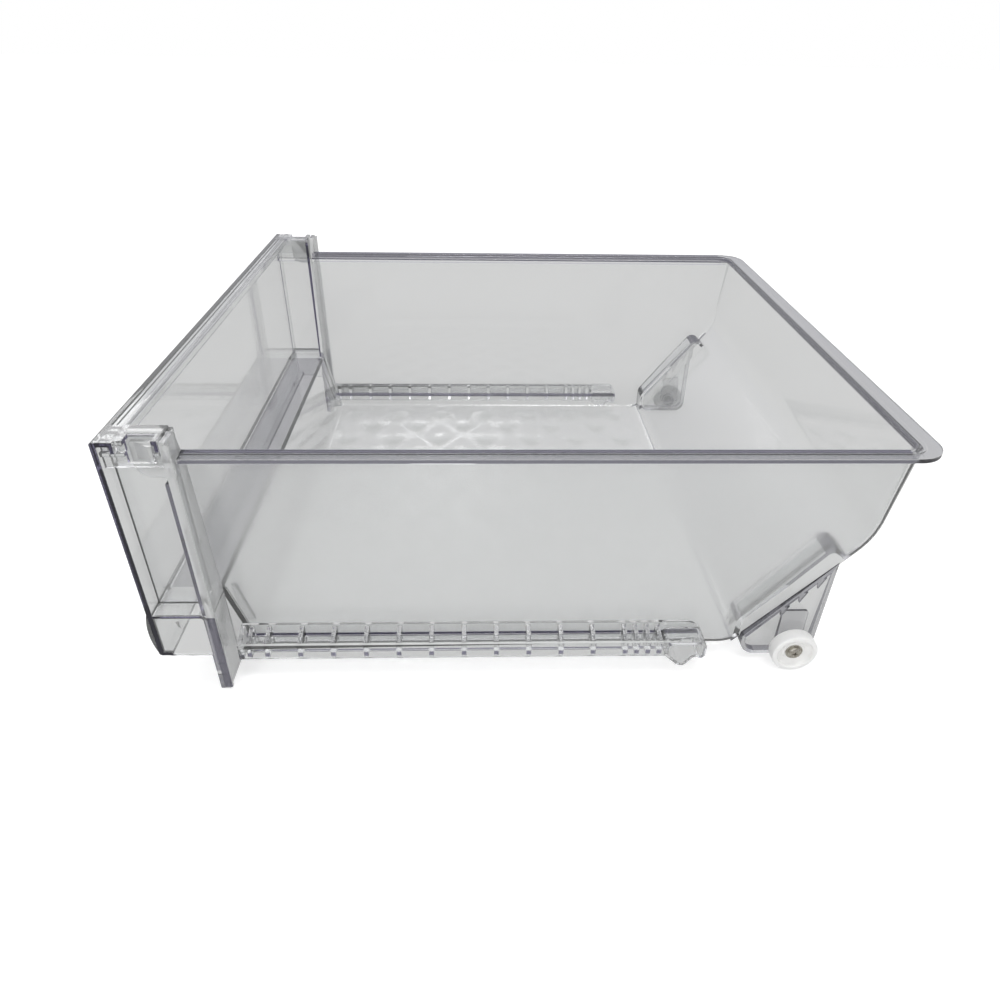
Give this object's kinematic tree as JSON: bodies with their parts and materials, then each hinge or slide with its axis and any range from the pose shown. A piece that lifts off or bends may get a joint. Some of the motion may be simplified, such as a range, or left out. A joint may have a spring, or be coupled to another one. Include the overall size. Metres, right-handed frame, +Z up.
{
  "type": "crisper drawer",
  "caption": "Clear plastic refrigerator crisper drawer with a snapped-on front cover, side runners and white rear rollers.",
  "frame": {"origin": "middle of the drawer's footprint, on the surface that it stands on", "axes": "+Z up, the front cover faces -Y, +X to the right for someone who faces the rear of the drawer from its front"},
  "size_m": [0.365, 0.402, 0.1585],
  "materials": {
    "clear_plastic": "clear moulded polystyrene, polished",
    "white_plastic": "white moulded acetal",
    "steel": "plated steel"
  },
  "bodies": {
    "drawer": {"front_cover": "clear_plastic", "left_cover_end": "clear_plastic", "right_cover_end": "clear_plastic", "tub": "clear_plastic", "left_wing": "clear_plastic", "right_wing": "clear_plastic", "left_runner": "clear_plastic", "right_runner": "clear_plastic", "left_roller_washer": "steel", "right_roller_washer": "steel", "left_roller_screw": "steel", "right_roller_screw": "steel"},
    "left_roller": {"left_roller": "white_plastic"},
    "right_roller": {"right_roller": "white_plastic"}
  },
  "joints": [
    {"name": "left_roller_spin", "type": "hinge", "parent": "drawer", "child": "left_roller", "pos_m": [-0.1685, 0.1565, 0.013], "axis": [1, 0, 0], "continuous": true},
    {"name": "right_roller_spin", "type": "hinge", "parent": "drawer", "child": "right_roller", "pos_m": [0.1685, 0.1565, 0.013], "axis": [1, 0, 0], "continuous": true}
  ]
}
